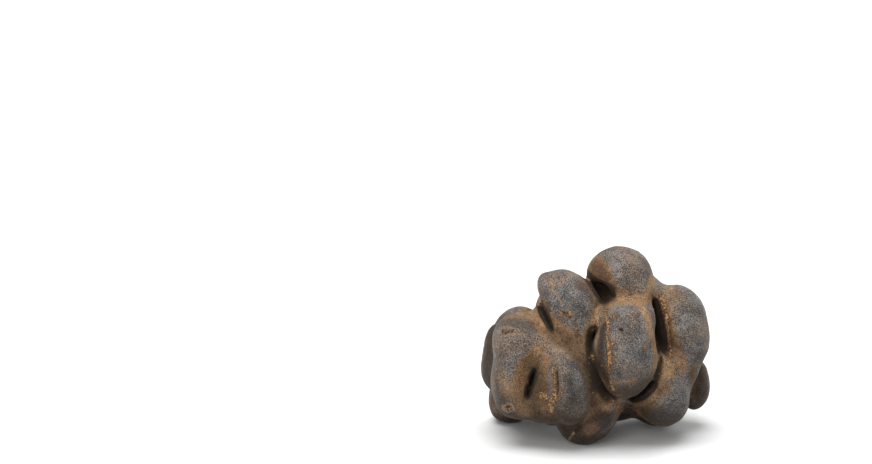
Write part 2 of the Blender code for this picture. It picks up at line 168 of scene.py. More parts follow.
MARKS = [
    # the torn seam down the front knob, and the bits beside it
    Mark("flakes", 0.6, [(3.2, 12.6), (4.2, 7.2), (3.9, 2.6), (4.6, -2.3)]),
    Mark("flakes", 0.9, [(4.6, -2.3), (4.9, -5.8)]),
    Mark("flakes", 0.45, [(4.7, -5.8), (4.4, -9.6), (5.1, -12.1), (6.0, -15.5)]),
    Mark("flakes", 0.3, [(4.7, 9.8), (7.6, 10.3)]),
    Mark("flakes", 0.35, [(5.5, -0.5), (5.9, 0.7)]),
    Mark("flakes", 0.3, [(12.4, -13.8), (13.2, -13.2)]),
    Mark("flakes", 0.3, [(16.9, -0.5), (16.9, 0.2)]),
    Mark("flakes", 0.3, [(7.5, -17.4), (8.2, -17.3)]),
    Mark("flakes", 0.35, [(7.3, -21.9), (8.0, -21.2)]),
    Mark("flakes", 0.3, [(18.6, -16.1), (19.3, -15.7)]),
    Mark("crack", 0.2, [(3.2, 7.6), (2.9, 3.6), (3.3, 0.4), (3.2, -3.6), (3.9, -7.0), (3.8, -10.6)]),
    Mark("pit", 0.6, [(8.6, 5.6), (9.1, 5.5)]),
    Mark("pit", 0.3, [(14.4, 2.3), (14.6, 2.2)]),
    # the seam down the left of the right knob
    Mark("flakes", 0.8, [(23.2, 17.0), (24.4, 11.5), (25.2, 6.0)]),
    Mark("flakes", 0.4, [(25.2, 6.0), (25.7, 1.0), (26.3, -4.0)]),
    # the flaking crack on the middle knob
    Mark("flakes", 0.5, [(-15.2, -8.7), (-14.6, -10.2), (-14.6, -12.9), (-14.2, -16.0)]),
    Mark("flakes", 1.1, [(-14.4, -17.5), (-15.4, -19.6), (-15.9, -22.6)]),
    Mark("flakes", 1.0, [(-18.8, -17.6), (-18.0, -18.0)]),
    Mark("flakes", 0.35, [(-12.3, -17.3), (-11.8, -16.2)]),
    Mark("flakes", 0.4, [(-23.9, -12.6), (-23.7, -15.0)]),
    Mark("groove", 0.7, [(-14.0, -7.4), (-13.7, -11.0), (-13.6, -16.0)]),
    Mark("crack", 0.2, [(-13.9, -9.0), (-13.5, -12.0), (-13.4, -15.4), (-13.9, -17.6)]),
    Mark("groove", 1.3, [(2.6, 6.0), (2.2, 0.0), (3.0, -6.0), (3.8, -12.0)]),
    Mark("groove", 1.5, [(-17.6, -2.6), (-17.2, -7.0), (-16.9, -12.0), (-17.2, -17.0)]),
    # the left column
    Mark("scab", 1.4, [(-32.6, 5.2), (-28.6, 4.6)]),
    Mark("scab", 1.4, [(-31.8, -22.2), (-30.2, -21.5)]),
    # the shoulder and the crown
    Mark("line", 0.25, [(-16.1, 24.0), (-15.0, 19.4), (-11.9, 14.9)]),
    Mark("scab", 1.0, [(-11.4, 11.2), (-8.8, 10.4)]),
    Mark("stain", 2.0, [(-5.6, 21.0), (-4.2, 20.2)]),
    Mark("stain", 1.2, [(1.5, 27.5), (3.4, 24.0)]),
    Mark("flakes", 0.35, [(-6.8, 6.2), (-6.4, 5.8)]),
    Mark("flakes", 0.5, [(-1.2, 5.4), (-0.4, 4.8)]),
    Mark("flakes", 0.4, [(-1.4, -3.8), (-1.0, -4.4)]),
    Mark("flakes", 0.4, [(2.3, -11.8), (2.9, -12.6)]),
    # the foot
    Mark("stain", 2.4, [(-2.8, -29.6), (-1.4, -29.0)]),
    Mark("line", 0.35, [(-9.6, -33.2), (-7.8, -30.6)]),
    Mark("pit", 0.6, [(-7.2, -30.2), (-5.4, -28.6)]),
    # tan soil in the folds and on the flanks
    Mark("soil", 1.8, [(14.5, 14.8), (18.2, 10.6), (19.8, 3.6), (20.8, -2.0), (20.6, -7.0)]),
    Mark("soil", 2.2, [(5.6, 16.0), (12.0, 15.4), (18.0, 16.6), (19.6, 22.0)]),
    Mark("soil", 3.4, [(-20.0, 8.0), (-12.6, 3.6), (-5.6, 0.4), (-2.2, -8.6), (-0.4, -17.0), (1.4, -22.0)]),
    Mark("soil", 2.2, [(-19.6, -1.6), (-25.2, -6.8), (-28.0, -13.8), (-25.8, -20.8), (-21.0, -24.0)]),
    Mark("soil", 1.8, [(-17.8, -5.0), (-18.6, -12.0), (-19.6, -19.0), (-16.4, -24.6)]),
    Mark("soil", 2.0, [(14.4, -20.0), (17.0, -23.8), (19.4, -18.6), (23.4, -14.4)]),
    Mark("soil", 1.8, [(22.8, 15.6), (25.6, 7.2), (28.0, -1.6), (30.4, -7.8)]),
    Mark("soil", 1.3, [(34.0, -8.0), (34.0, -17.0)]),
    Mark("soil", 2.6, [(-0.4, 29.0), (2.6, 25.6), (4.6, 20.4), (8.4, 17.6)]),
    Mark("soil", 2.4, [(22.4, -2.6), (25.6, -9.0)]),
    Mark("soil", 2.0, [(-20.6, 15.0), (-17.2, 9.6), (-12.4, 6.2)]),
    Mark("soil", 1.5, [(0.4, 15.6), (-1.2, 6.0)]),
    Mark("soil", 1.6, [(-31.6, 9.6), (-25.4, 11.0)]),
    Mark("soil", 2.0, [(1.4, -21.6), (-1.4, -25.0)]),
    # rusty brown crusts
    Mark("rust", 2.3, [(-0.6, 28.6), (2.4, 27.0), (2.8, 24.2)]),
    Mark("rust", 1.1, [(-22.6, -3.8), (-25.8, -7.6), (-26.4, -12.4)]),
    Mark("rust", 1.0, [(-20.6, -5.0), (-20.4, -11.0), (-20.8, -16.4)]),
    Mark("rust", 1.3, [(22.6, 17.0), (24.6, 9.0), (25.2, 0.0)]),
    Mark("rust", 1.2, [(16.6, -17.4), (14.2, -20.6), (15.0, -24.4)]),
    Mark("rust", 1.8, [(-2.8, -29.8), (-1.2, -29.0)]),
    # pale dry dust
    Mark("dust", 2.1, [(2.6, 17.2), (8.0, 15.6), (14.0, 15.6), (18.4, 18.4), (20.6, 22.4)]),
    Mark("dust", 1.6, [(16.6, 13.0), (18.0, 8.6), (18.6, 4.0)]),
    Mark("dust", 2.4, [(22.6, -1.0), (24.4, -5.2), (24.2, -9.4)]),
    Mark("dust", 2.2, [(-31.4, -13.0), (-30.0, -18.4), (-25.0, -23.2)]),
    Mark("dust", 0.9, [(-17.6, 2.4), (-12.8, -1.6), (-9.4, -4.4)]),
    Mark("dust", 1.2, [(-20.4, 12.6), (-17.4, 7.6)]),
    Mark("dust", 1.2, [(1.0, -17.4), (3.6, -21.6)]),
    Mark("dust", 0.3, [(6.4, -13.0), (12.8, -12.4)]),
    # painted shadow: stretches where soil and skin are both painted darker
    Mark("painted_shadow", 4.0, [(-14.0, 3.0), (-7.0, 0.0), (-3.4, -9.0), (-0.6, -18.0)]),
    Mark("painted_shadow", 3.4, [(-22.0, -6.0), (-19.4, -14.0), (-22.0, -22.0), (-31.0, -20.0)]),
    Mark("painted_shadow", 3.4, [(-34.0, 9.0), (-24.0, 7.0)]),
    Mark("painted_shadow", 2.8, [(-0.8, 27.6), (2.6, 24.0)]),
    Mark("painted_shadow", 2.0, [(33.4, -9.0), (33.8, -17.0)]),
    Mark("painted_shadow", 2.4, [(-8.8, -12.0), (-8.4, -21.0)]),
    Mark("painted_shadow", 3.0, [(14.0, -22.0), (20.0, -24.0), (28.0, -23.0)]),
    # painted shade in dark brown, low down, at the sides and in the clefts
    Mark("painted_shade", 1.3, [(-21.6, 15.6), (-19.4, 11.0), (-16.6, 7.0)]),
    Mark("painted_shade", 5.0, [(-37.6, 4.0), (-37.6, -14.0)]),
    Mark("painted_shade", 4.2, [(-9.6, -30.0), (-2.6, -30.6), (2.6, -26.0)]),
    Mark("painted_shade", 3.6, [(37.6, -9.0), (37.4, -20.0)]),
    Mark("painted_shade", 1.9, [(2.2, 6.0), (1.2, -2.0), (1.8, -7.0), (4.0, -13.0)]),
    Mark("painted_shade", 1.9, [(-2.2, 4.0), (-1.0, -5.0), (1.4, -13.0)]),
    # the sides that the photograph doesn't show
    Mark("rust", 1.8, [(-6.0, 12.0), (-3.0, 8.0), (-4.0, 3.0)], 180),
    Mark("rust", 1.4, [(9.0, -12.0), (14.0, -14.0)], 180),
    Mark("dust", 2.2, [(-20.0, 4.0), (-14.0, -1.0)], 180),
    Mark("dust", 2.0, [(4.0, 20.0), (10.0, 16.0), (14.0, 12.0)], 180),
    Mark("rust", 1.6, [(3.0, 6.0), (7.0, 2.0), (8.0, -3.0)], 90),
    Mark("dust", 2.2, [(-10.0, 6.0), (-6.0, 12.0)], 90),
    Mark("rust", 1.6, [(-5.0, -2.0), (-8.0, -6.0)], -90),
    Mark("dust", 2.2, [(-4.0, 10.0), (4.0, 6.0)], -90),
    Mark("flakes", 0.5, [(-14.0, 16.0), (-12.5, 11.0), (-13.5, 6.5), (-12.0, 3.0)], 180),
    Mark("flakes", 0.9, [(11.0, -6.0), (13.0, -9.5)], 180),
    Mark("scab", 1.7, [(17.0, 8.0), (19.5, 9.0)], 180),
    Mark("line", 0.3, [(-2.0, 2.0), (1.0, -3.5), (0.5, -8.0)], 180),
    Mark("stain", 2.5, [(-20.0, -10.0), (-17.0, -12.0)], 180),
    Mark("flakes", 0.45, [(6.0, 12.0), (8.5, 7.0), (8.0, 1.0)], 90),
    Mark("scab", 1.4, [(2.0, -7.0), (4.0, -8.5)], 90),
    Mark("stain", 2.2, [(2.0, -14.0), (5.0, -12.0)], 90),
    Mark("flakes", 0.5, [(-6.0, -2.0), (-8.0, -6.0), (-6.5, -10.0)], -90),
    Mark("line", 0.3, [(4.0, 12.0), (7.0, 8.0), (7.5, 3.0)], -90),
    Mark("scab", 1.3, [(10.0, -9.0), (12.5, -8.0)], -90),
]

MARK_SPACING = 0.25
# the depth given to a vertex that is far outside every mark of a kind
FAR_OUTSIDE = -9.0


class Swell(NamedTuple):
    """Smooth noise over the skin: the size of its features, its octaves, a seed, and how strong it is."""

    size: float
    octaves: int
    seed: float
    height: float


UNEVENNESS = [Swell(9.0, 1, 0.0, 0.16), Swell(3.2, 2, 5.0, 0.07), Swell(1.1, 2, 9.0, 0.03)]
CRUMBLE = Swell(0.9, 2, 3.0, 1.0)
# how fast the octaves of such noise weaken, and how much finer each is than the last
OCTAVE_DECAY = 0.7
OCTAVE_RATIO = 2.0


class Rise(NamedTuple):
    """The relief of a kind of mark, which starts and is full at so many mm inside its edge.

    Crumble is the height of the noise on top of it.
    """

    kind: str
    start: float
    full: float
    height: float
    crumble: float = 0.0


RISES = [
    Rise("flakes", -0.6, 0.3, 0.16, 0.22),
    Rise("scab", -0.5, 0.3, 0.14),
    Rise("scab", 0.2, 0.9, -0.18, 0.25),
    Rise("line", -0.4, 0.2, 0.14),
    Rise("pit", -0.5, 0.5, -0.75),
    Rise("crack", -0.5, 0.2, -0.5),
    Rise("groove", -0.9, 0.7, -0.5),
]

# soil lies where the skin shuts itself in: the weight of the shelter at each reach, that of slow patches, how
# much soil a unit of their sum makes, and where it starts from in the open
SOIL_SHELTER = {2.0: 0.25, 4.0: 0.3, 8.0: 0.35, 14.0: 0.25}
SOIL_PATCHES = Swell(16.0, 1, 2.0, 0.28)
SOIL_GAIN = 4.56
SOIL_IN_THE_OPEN = -1.6
# painted shade fills the clefts by the weight of the shelter at each reach
CLEFT_SHELTER = {4.0: 0.3, 8.0: 0.7}
DEEPEST_SHELTER = 1.5
# the far side, which begins between these places along Y, has so much more soil and more shadow in its clefts
FAR_SIDE = (6.0, 18.0)
FAR_SIDE_SOIL = 0.9
FAR_SIDE_CLEFT = 0.08
# painted shade lies on the underside, from this downward lean of the skin on: its growth with the lean, and
# its start
UNDERSIDE = 0.15
UNDERSIDE_GROWTH = 5.0
UNDERSIDE_START = -1.0

CHARCOAL = (0.060, 0.057, 0.055)
ASH = (0.138, 0.129, 0.123)
LENTICEL = (0.022, 0.017, 0.014)
PALE_SPECK = (0.33, 0.28, 0.235)
SOIL = (0.205, 0.114, 0.053)
SOIL_PALE = (0.280, 0.166, 0.083)
SOIL_DARK = (0.070, 0.042, 0.023)
# near black: painted shade in the clefts and in the scabs' pores, and the dark of pits and cracks
DARK_SOIL_AND_SHADE = (0.021, 0.0135, 0.008)
# painted shade in dark brown
SHADE_BROWN = (0.021, 0.0125, 0.007)
OCHRE = (0.34, 0.190, 0.082)
OCHRE_DARK = (0.098, 0.050, 0.022)
OCHRE_PALE = (0.52, 0.36, 0.20)
SCAB = (0.088, 0.055, 0.034)
SCAB_RIM = (0.27, 0.23, 0.19)
STAIN = (0.075, 0.044, 0.031)
RUST = (0.160, 0.080, 0.034)
DUST = (0.32, 0.200, 0.108)
DUST_BROWN = (0.158, 0.100, 0.056)
BLACK = (0.0, 0.0, 0.0)


class Cover(NamedTuple):
    """How a layer of colour lies on the marks that it belongs to.

    Noise tears the mark's edge by so much. The layer starts at so many mm inside the torn edge, and has its
    full strength at so many mm.
    """

    mark: str
    torn: float
    start: float
    full: float
    strength: float = 1.0


COVERS = {
    "soil": Cover("soil", 1.0, -1.2, 0.9, 0.9),
    # painted shade in dark brown
    "painted_shade": Cover("painted_shade", 0.5, -1.6, 1.8, 0.88),
    "rust": Cover("rust", 0.8, -1.2, 1.2, 0.7),
    "dust": Cover("dust", 0.9, -2.0, 2.4, 0.46),
    # painted shadow: black laid thinly over soil and skin
    "painted_shadow": Cover("painted_shadow", 0.5, -2.0, 2.4, 0.46),
    "stain": Cover("stain", 0.7, -0.9, 0.9, 0.65),
    # painted shade, near black, deep in the clefts
    "cleft_shade": Cover("cleft_shade", 0.06, 0.5, 0.92, 0.93),
    "scab_rim": Cover("scab", 0.85, -0.5, -0.1, 0.5),
    "scab": Cover("scab", 0.85, 0.0, 0.3),
    "line": Cover("line", 0.3, -0.15, 0.15, 0.7),
    "flake_bed": Cover("flakes", 0.5, -1.4, 0.0, 0.6),
    "flakes": Cover("flakes", 0.5, -0.15, 0.15),
    "pit": Cover("pit", 0.0, -0.2, 0.2),
    "crack": Cover("crack", 0.3, -0.3, 0.05, 0.85),
}


class Specks(NamedTuple):
    """Round specks: spacing, radius in spacings, the share of places with one, colour and strength."""

    spacing: float
    radius: float
    share: float
    colour: tuple
    strength: float


PALE_SPECKS = Specks(0.9, 0.27, 0.4, PALE_SPECK, 0.8)
TAN_SPECKS = Specks(1.5, 0.2, 0.4, OCHRE, 0.8)
LENTICELS = Specks(1.1, 0.27, 0.5, LENTICEL, 0.85)
SPECK_SOFTNESS = 0.03
# where a Mix node keeps its two colours and the mixed one
MIX_COLOURS = slice(6, 8)
MIX_RESULT = 2

# the skin's noises: the size of their features, their detail and their roughness
NOISES = {
    "drifts": (12.0, 2.0, 0.5),
    "broad": (8.0, 2.0, 0.5),
    "cloudy": (4.5, 2.0, 0.6),
    "soil_patches": (4.0, 3.0, 0.6),
    "patchy": (2.4, 3.0, 0.6),
    "soil_lumps": (1.5, 4.0, 0.7),
    "fine": (0.55, 3.0, 0.7),
    "finest": (0.3, 1.0, 0.5),
}
FLAKE_CELLS = 0.5
SCAB_CELLS = 0.7


class Blend(NamedTuple):
    """A sum of the skin's noises, each with its weight, and a plain number."""

    weights: dict
    level: float = 0.0


CLOUDS = Blend({"broad": 0.6, "cloudy": 0.7, "patchy": 0.5})
DUSTINESS = Blend({"drifts": 1.0, "patchy": 0.3})
SPECKLE = Blend({"fine": 3.1, "finest": 4.6}, -2.85)
SOIL_SPECKLE = Blend({"fine": 2.4, "finest": 2.4}, -1.4)
RAGGED = Blend({"patchy": 4.0, "fine": 2.6, "finest": 1.6}, -4.1)
ROUGHNESS = Blend({"patchy": 0.12, "fine": 0.3}, 0.48)
BUMPS = Blend({"patchy": 0.6, "fine": 0.7, "finest": 0.4})
# the darkest that the speckles make the skin and the soil, and how much of them shows through the dust
DARKEST_SPECKLE = 0.24
DARKEST_SOIL_SPECKLE = 0.3
SPECKLE_IN_DUST = 0.6
# values of a noise between which one colour gives way to another
ASH_EDGE = (0.74, 1.06)
THIN_DUST_EDGE = (0.56, 0.86)
SOIL_PALE_EDGE = (0.35, 0.65)
SOIL_DARK_EDGE = (0.5, 0.7)
RUST_DARK_EDGE = (0.56, 0.7)
SCAB_SOIL_EDGE = (0.5, 0.7)
SCAB_PORE_EDGE = (0.36, 0.3)
FLAKE_OCHRE_EDGE = (0.45, 0.6)
FLAKE_PALE_EDGE = (0.8, 0.9)
THIN_DUST = 0.42
# painted light from above: heights between which the surface is painted lighter, and how light skin and soil
# are painted low down and high up
PAINTED_LIGHT_HEIGHTS = (8.0, 56.0)
SKIN_PAINTED_LIGHT = (0.78, 1.14)
SOIL_PAINTED_LIGHT = (0.54, 1.06)
# places across the potato between which it grows dustier, and by how much
DUSTIER = (4.0, -24.0)
DUSTIER_BY = 0.14
# how much the soil, the lenticels and the scabs add to the skin's roughness and bumps
ROUGHER_SOIL = 0.178
ROUGHEST = 0.95
LENTICEL_BUMPS = -0.47
SCAB_BUMPS = 0.8
SKIN_BUMPS = 0.18
SKIN_SHINE = {
    "Specular IOR Level": 0.22,
    "Sheen Weight": 0.1,
    "Sheen Roughness": 0.28,
    "Sheen Tint": (0.95, 0.80, 0.62, 1.0),
}
# a crumb's tones between which it turns ochre and then pale, its noise, and what that does to its looks
CRUMB_OCHRE_EDGE = (0.1, 0.5)
CRUMB_PALE_EDGE = (0.6, 1.0)
CRUMB_NOISE = (0.3, 3.0, 0.7)
CRUMB_LIGHT = (0.2, 1.8)
CRUMB_ROUGHNESS = (0.75, 0.95)
CRUMB_BUMPS = 0.08
CRUMB_SHINE = {"Specular IOR Level": 0.25}

CRUMB_PLACE_SEED = 11
# crumbs along the flakes: the spacing of their places, how many more there are for each mm of reach, how far
# they scatter in reaches, the roots of their sizes, and a power that makes most of them dark
FLAKE_CRUMB_SPACING = 0.35
FLAKE_CRUMBS_MORE = 1.6
FLAKE_CRUMB_SCATTER = 0.6
FLAKE_CRUMB_ROOTS = (0.3, 0.56)
FLAKE_CRUMB_DARKNESS = 2.4
# crumbs in the clefts: how many, the reach and range of the shelter that they lie in, the roots of their
# sizes, and their tones
CLEFT_CRUMBS = 260
CLEFT_CRUMB_REACH = 8.0
CLEFT_CRUMB_SHELTER = (0.55, 1.1)
CLEFT_CRUMB_ROOTS = (0.3, 0.58)
CLEFT_CRUMB_TONES = (0, 0.5)
# the form of a crumb: its width and thickness for its length, its corners' reach, and how far it stands out
CRUMB_FORM_SEED = 5
CRUMB_WIDTH = (0.6, 1.0)
CRUMB_THICKNESS = (0.45, 0.8)
CRUMB_CORNERS = (0.75, 1.1)
CRUMB_LIFT = 0.2


class Lamp(NamedTuple):
    """An even light from far off: where it comes from, how wide it is in degrees, and its strength."""

    name: str
    come_from: tuple
    spread: float
    strength: float


LAMPS = [
    Lamp("top_light", (-0.15, -0.10, 1.0), 50.0, 3.5),
    Lamp("front_light", (-0.3, -1.0, 0.55), 40.0, 0.9),
    Lamp("rim_light", (0.7, 0.9, 0.7), 25.0, 0.9),
]
# the white walls far off, by how far up a ray points: bright at the horizon and dimmer overhead
WALL_FADE = {"From Min": 0.1, "From Max": 0.4, "To Min": 1.0, "To Max": 0.35}
FLOOR_REACH = 4000.0
FLOOR_GRAIN = 40.0
FLOOR_TONES = ((0.74, 0.74, 0.74), (0.76, 0.76, 0.76))
FLOOR_ROUGHNESS = 0.8


def lobe_distance(points, lobe):
    """Signed distance, close to true near the surface, from each point to the lobe's ellipsoid."""
    turn = np.array(Euler(np.radians(lobe.turn)).to_matrix())
    local = (points - np.array(lobe.centre)) @ turn
    radii = np.array(lobe.radii)
    reach = np.linalg.norm(local / radii, axis=-1)
    slope = np.linalg.norm(local / radii**2, axis=-1)
    return reach * (reach - 1) / np.maximum(slope, TINY)


def melt(first, second, width):
    """The nearer of two distances, with a soft saddle where they are within width of each other."""
    overlap = np.maximum(width - np.abs(first - second), 0) / width
    return np.minimum(first, second) - overlap**2 * width / 4


def sway(points):
    """Slow small shifts, so that no lobe is a true ellipsoid."""
    slow = np.sin(points[..., [1, 2, 0]] / SLOW_SWAY[1] + SLOW_PHASE)
    quick = np.sin(points[..., [2, 0, 1]] / QUICK_SWAY[1] + QUICK_PHASE)
    return SLOW_SWAY[0] * slow + QUICK_SWAY[0] * quick


def potato_distance(points):
    """Signed distance from each point to the skin: the lobes joined and the hollows carved, in order."""
    points = points + sway(points)
    distance = lobe_distance(points, LOBES[0])
    for lobe in LOBES[1:]:
        if lobe.hollow:
            distance = -melt(-distance, lobe_distance(points, lobe), lobe.blend)
        else:
            distance = melt(distance, lobe_distance(points, lobe), lobe.blend)
    return distance


def cell_corners(field):
    """Eight views of the field: the value at each corner of every grid cell, in the order of CORNERS."""
    size = np.array(field.shape) - 1
    return [field[tuple(slice(c, c + n) for c, n in zip(corner, size))] for corner in CORNERS]


def fill_pinches(inside):
    """Fills grid points where the skin would meet itself along an edge or at a corner only, as in creases."""
    inside = inside.copy()
    before = -1
    while inside.sum() != before:
        before = inside.sum()
        for axis in range(3):
            layers = np.moveaxis(inside, axis, 0)
            a, b = layers[:, :-1, :-1], layers[:, 1:, 1:]
            c, d = layers[:, 1:, :-1], layers[:, :-1, 1:]
            crossed = (a & b & ~c & ~d) | (c & d & ~a & ~b)
            for part in (a, b, c, d):
                part |= crossed
        parts = cell_corners(inside)
        count = sum(part.astype(np.int8) for part in parts)
        for n in range(len(CORNERS) // 2):
            near, far = parts[n], parts[-1 - n]
            lone = (near & far & (count == 2)) | (~near & ~far & (count == 6))
            for part in parts:
                part |= lone
    return inside


def cell_places(field, crossed):
    """Place of the surface in each crossed cell, in cells: the middle of where it cuts the cell's edges."""
    values = np.stack([part[crossed] for part in cell_corners(field)], axis=1)
    place = np.zeros((len(values), 3))
    hits = np.zeros(len(values))
    for a, start in enumerate(CORNERS):
        for b, end in enumerate(CORNERS):
            if b <= a or sum(abs(s - e) for s, e in zip(start, end)) != 1:
                continue
            cut = (values[:, a] < 0) != (values[:, b] < 0)
            share = values[cut, a] / (values[cut, a] - values[cut, b])
            place[cut] += np.array(start) + share[:, None] * (np.array(end) - np.array(start))
            hits[cut] += 1
    return np.argwhere(crossed) + place / hits[:, None]


def sampled_field(step):
    """Lowest corner of the grid, and the distance at each grid point, worked out in full near the skin."""
    grown = [lobe for lobe in LOBES if not lobe.hollow]
    low = np.min([np.array(lobe.centre) - max(lobe.radii) for lobe in grown], axis=0) - MARGIN
    high = np.max([np.array(lobe.centre) + max(lobe.radii) for lobe in grown], axis=0) + MARGIN
    blocks = np.ceil((high - low) / (step * COARSE)).astype(int)
    wide = np.stack(np.meshgrid(*[np.arange(n) + 0.5 for n in blocks], indexing="ij"), axis=-1)
    field = potato_distance(low + wide * step * COARSE - step / 2)
    for axis in range(3):
        field = np.repeat(field, COARSE, axis)
    near = np.abs(field) < FULL_BAND * COARSE * step
    field[near] = potato_distance(low + np.argwhere(near) * step)
    return low, field


def surface_quads(step):
    """The surface: a vertex in each grid cell that it crosses, and a quad round each edge that it crosses."""
    low, field = sampled_field(step)
    inside = fill_pinches(field < 0)
    field = np.where(inside, np.minimum(field, -FILLED * step), field)
    count = sum(part.astype(np.int8) for part in cell_corners(inside))
    crossed = (count > 0) & (count < len(CORNERS))
    vertices = low + cell_places(field, crossed) * step
    number = np.full(crossed.shape, -1)
    number[crossed] = np.arange(len(vertices))
    quads = []
    for axis in range(3):
        side, up = (axis + 1) % 3, (axis + 2) % 3
        first = np.take(inside, range(field.shape[axis] - 1), axis)
        second = np.take(inside, range(1, field.shape[axis]), axis)
        for leaving in (True, False):
            edge = np.argwhere((first & ~second) if leaving else (~first & second))
            ring = [(0, 0), (-1, 0), (-1, -1), (0, -1)]
            steps = np.zeros((4, 3), int)
            for n, (s, u) in enumerate(ring if leaving else ring[::-1]):
                steps[n, side], steps[n, up] = s, u
            at = edge[:, None, :] + steps
            quads.append(number[at[..., 0], at[..., 1], at[..., 2]])
    return vertices, np.concatenate(quads)


def slope_at(points, reach=0.05):
    """Slope of the distance at each point, which there points out of the skin."""
    shifts = np.eye(3) * reach
    rises = [potato_distance(points + shift) - potato_distance(points - shift) for shift in shifts]
    return np.stack(rises, axis=-1) / (2 * reach)


def settle(vertices, rounds=3, furthest=0.2, flattest=0.25):
    """Moves the vertices onto the surface along its slope, which counts as no flatter than the flattest."""
    for _ in range(rounds):
        slope = slope_at(vertices)
        move = potato_distance(vertices) / np.maximum((slope**2).sum(-1), flattest)
        vertices = vertices - np.clip(move, -furthest, furthest)[:, None] * slope
    return vertices


def camera_axes():
    """The camera's right, up and forward directions."""
    right = np.array([1.0, 0.0, 0.0])
    up = np.array([0.0, math.sin(PITCH), math.cos(PITCH)])
    forward = np.array([0.0, math.cos(PITCH), -math.sin(PITCH)])
    return right, up, forward


def camera_place():
    """The camera's place, from which the aim point falls on the photograph's aim pixel."""
    right, up, forward = camera_axes()
    mm_per_pixel = DISTANCE * SENSOR / LENS / IMAGE_WIDTH
    across = (AIM_PIXEL[0] - IMAGE_WIDTH / 2) * mm_per_pixel
    above = (AIM_PIXEL[1] - IMAGE_HEIGHT / 2) * mm_per_pixel
    return AIM - right * across + up * above - forward * DISTANCE


def mark_samples(mark, tree, spacing=MARK_SPACING):
    """Places on the skin along a mark."""
    turn = Matrix.Rotation(math.radians(mark.turn), 3, "Z")
    right, up, _ = camera_axes()
    eye = turn @ Vector(camera_place())
    samples = []
    for start, end in zip(mark.points, mark.points[1:]):
        count = max(2, round(math.dist(start, end) / spacing))
        for share in np.linspace(0, 1, count):
            across, above = np.array(start) * (1 - share) + np.array(end) * share
            target = turn @ Vector(AIM + right * across + up * above)
            hit = tree.ray_cast(eye, (target - eye).normalized())[0]
            if hit is not None:
                samples.append(hit)
    return samples


def mark_depths(vertices, tree):
    """For each kind of mark, how many mm inside the edge of the nearest such mark each vertex is."""
    depths = {mark.kind: np.full(len(vertices), FAR_OUTSIDE) for mark in MARKS}
    for mark in MARKS:
        for sample in mark_samples(mark, tree):
            inside = mark.reach - np.linalg.norm(vertices - np.array(sample), axis=1)
            depths[mark.kind] = np.maximum(depths[mark.kind], inside)
    return depths


def shelter(vertices, normals, reach):
    """How far the skin round each vertex shuts it in at that reach: 0 in the open, and about 1 in a cleft."""
    return np.clip(1 - potato_distance(vertices + normals * reach) / reach, 0, DEEPEST_SHELTER)


def grain(vertices, swell):
    """The swell's noise at each vertex, between about its height below 0 and above."""
    shift = Vector((swell.seed, swell.seed * 1.7, -swell.seed))
    places = [Vector(vertex) / swell.size + shift for vertex in vertices]
    heights = [noise.fractal(place, OCTAVE_DECAY, OCTAVE_RATIO, swell.octaves) for place in places]
    return swell.height * np.array(heights)


def smooth_step(values, low, high):
    """0 below low, 1 above high, and smooth between."""
    share = np.clip((values - low) / (high - low), 0, 1)
    return share * share * (3 - 2 * share)


def skin_relief(vertices, depths):
    """Height of the skin's fine relief at each vertex."""
    relief = sum(grain(vertices, swell) for swell in UNEVENNESS)
    crumbly = grain(vertices, CRUMBLE)
    for rise in RISES:
        share = smooth_step(depths[rise.kind], rise.start, rise.full)
        relief += share * (rise.height + rise.crumble * crumbly)
    return relief


class Ground(NamedTuple):
    """The smooth skin under the relief, where the lobes put it, and its shift to the CAD's origin."""

    vertices: np.ndarray
    quads: np.ndarray
    normals: np.ndarray
    shelters: dict
    tree: BVHTree
    shift: np.ndarray


def grow_ground():
    """The lobes' own skin, before any relief."""
    vertices, quads = surface_quads(GRID_STEP)
    vertices = settle(vertices)
    slope = slope_at(vertices)
    normals = slope / np.linalg.norm(slope, axis=1)[:, None]
    shelters = {reach: shelter(vertices, normals, reach) for reach in SOIL_SHELTER}
    tree = BVHTree.FromPolygons(vertices.tolist(), quads.tolist())
    low, high = vertices.min(0), vertices.max(0)
    shift = np.array([(low[0] + high[0]) / 2, (low[1] + high[1]) / 2, low[2] + REST_CUT])
    return Ground(vertices, quads, normals, shelters, tree, shift)


def on_the_floor(vertices, ground):
    """The vertices about the CAD's origin, with none below the floor."""
    vertices = vertices - ground.shift
    vertices[:, 2] = np.maximum(vertices[:, 2], 0)
    return vertices


def add_dirt_and_shade(depths, ground):
    """Adds to the marks the soil that follows from the potato's form, and painted shade underneath and in the
    clefts.
    """
    behind = smooth_step(ground.vertices[:, 1], *FAR_SIDE)
    gathered = sum(weight * ground.shelters[reach] for reach, weight in SOIL_SHELTER.items())
    gathered = SOIL_GAIN * (gathered + grain(ground.vertices, SOIL_PATCHES))
    depths["soil"] = np.maximum(depths["soil"], gathered + SOIL_IN_THE_OPEN + FAR_SIDE_SOIL * behind)
    # painted shade on the skin that faces down
    downward = UNDERSIDE_GROWTH * np.maximum(-ground.normals[:, 2] - UNDERSIDE, 0)
    depths["painted_shade"] = np.maximum(depths["painted_shade"], downward + UNDERSIDE_START)
    # painted shade deep in the clefts, and a little more on the far side
    shut_in = sum(weight * ground.shelters[reach] for reach, weight in CLEFT_SHELTER.items())
    depths["cleft_shade"] = shut_in + FAR_SIDE_CLEFT * behind


def new_mesh(name, vertices, faces, material):
    """An object from vertices about the CAD's origin."""
    mesh = bpy.data.meshes.new(name)
    mesh.from_pydata((vertices * MM).tolist(), [], faces.tolist())
    mesh.materials.append(material)
    obj = bpy.data.objects.new(name, mesh)
    bpy.context.scene.collection.objects.link(obj)
    return obj


def store(mesh, name, values):
    """Keeps one number for each vertex, for the material to read."""
    mesh.attributes.new(name, "FLOAT", "POINT").data.foreach_set("value", values.astype(np.float32))


